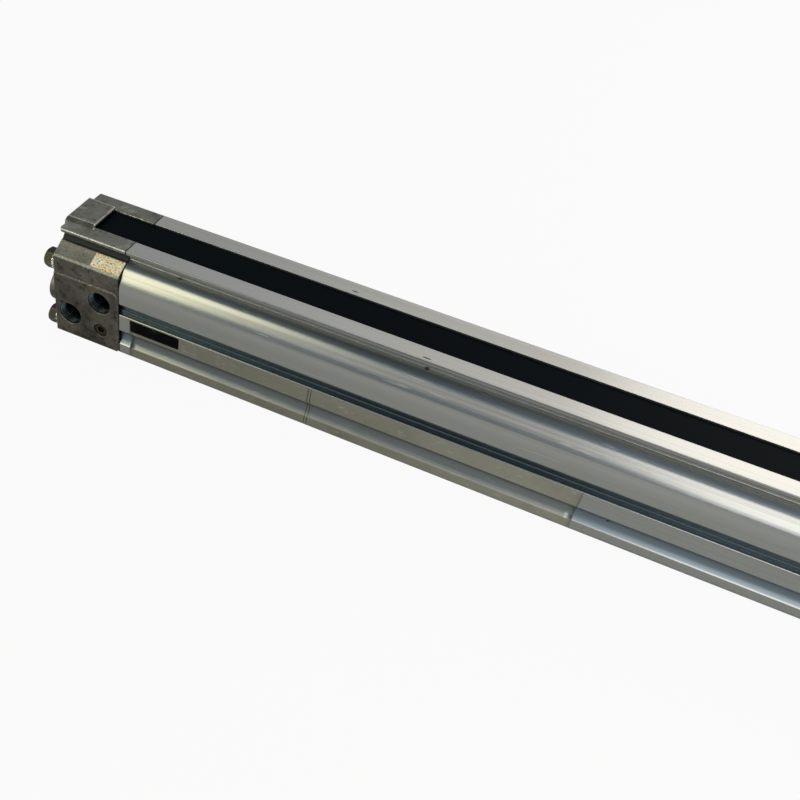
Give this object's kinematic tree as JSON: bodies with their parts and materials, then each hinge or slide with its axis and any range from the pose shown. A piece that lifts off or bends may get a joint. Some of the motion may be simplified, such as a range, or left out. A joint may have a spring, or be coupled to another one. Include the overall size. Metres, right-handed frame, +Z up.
{
  "type": "rodless linear unit",
  "caption": "Rodless pneumatic linear unit: slotted aluminium barrel with cast end caps, black sealing band and a carriage driven by the piston through the slot.",
  "frame": {"origin": "middle of the unit on the plane of its base", "axes": "+X along the barrel towards the end where the carriage is parked, +Z up out of the slot, -Y the side with the open ports"},
  "size_m": [0.7128, 0.06, 0.084],
  "materials": {
    "barrel": "silver anodised extrusion",
    "end_cap": "die-cast, tumbled, dull grey",
    "outer_band": "black satin strip",
    "inner_band": "spring steel strip",
    "cap_screws": "zinc plated, dulled",
    "cap_washers": "bright zinc",
    "seals": "black nitrile rubber",
    "brass": "turned",
    "plugs": "zinc plated",
    "carriage": "silver anodised",
    "yoke": "milled",
    "heads": "turned",
    "plastic": "black moulded plastic",
    "slide_plastic": "natural acetal",
    "magnet": "plastic-bonded magnet"
  },
  "bodies": {
    "barrel_assembly": {"barrel": "barrel", "outer_band": "outer_band", "inner_band": "inner_band", "end_cap_left": "end_cap", "end_cap_right": "end_cap", "cap_screws_left": "cap_screws", "cap_screws_right": "cap_screws", "cap_washers_left": "cap_washers", "cap_washers_right": "cap_washers", "bore_seal_left": "seals", "bore_seal_right": "seals", "duct_seals_left": "seals", "duct_seals_right": "seals", "band_clamp_left": "brass", "band_clamp_right": "brass", "band_clamp_screw_left": "cap_screws", "band_clamp_screw_right": "cap_screws", "cushion_spigot_left": "brass", "cushion_spigot_right": "brass", "port_plugs_left": "plugs", "port_plugs_right": "plugs"},
    "carriage_assembly": {"carriage": "carriage", "piston_yoke": "yoke", "yoke_screws": "cap_screws", "slide_strip_near": "slide_plastic", "slide_strip_far": "slide_plastic", "piston_head_left": "heads", "piston_head_right": "heads", "piston_seal_left": "seals", "piston_seal_right": "seals", "guide_ring_left": "slide_plastic", "guide_ring_right": "slide_plastic", "magnet_ring_left": "magnet", "magnet_ring_right": "magnet", "cushion_seal_left": "seals", "cushion_seal_right": "seals", "band_shoe_left": "plastic", "band_shoe_right": "plastic", "wiper_left": "plastic", "wiper_right": "plastic", "wiper_screws_left": "cap_screws", "wiper_screws_right": "cap_screws"},
    "needle_left": {"cushion_screw_left": "plugs", "cushion_screw_seal_left": "seals"},
    "needle_right": {"cushion_screw_right": "plugs", "cushion_screw_seal_right": "seals"}
  },
  "joints": [
    {"name": "carriage_slide", "type": "slide", "parent": "barrel_assembly", "child": "carriage_assembly", "axis": [1, 0, 0], "range_m": [-0.4, 0], "deforming": ["outer_band", "inner_band"]},
    {"name": "cushion_turn_left", "type": "hinge", "parent": "barrel_assembly", "child": "needle_left", "pos_m": [-0.3216, -0.0279, 0.01105], "axis": [0, -1, 0], "range_deg": [-360, 720]},
    {"name": "cushion_turn_right", "type": "hinge", "parent": "barrel_assembly", "child": "needle_right", "pos_m": [0.3216, -0.0279, 0.01105], "axis": [0, -1, 0], "range_deg": [-360, 720]}
  ]
}
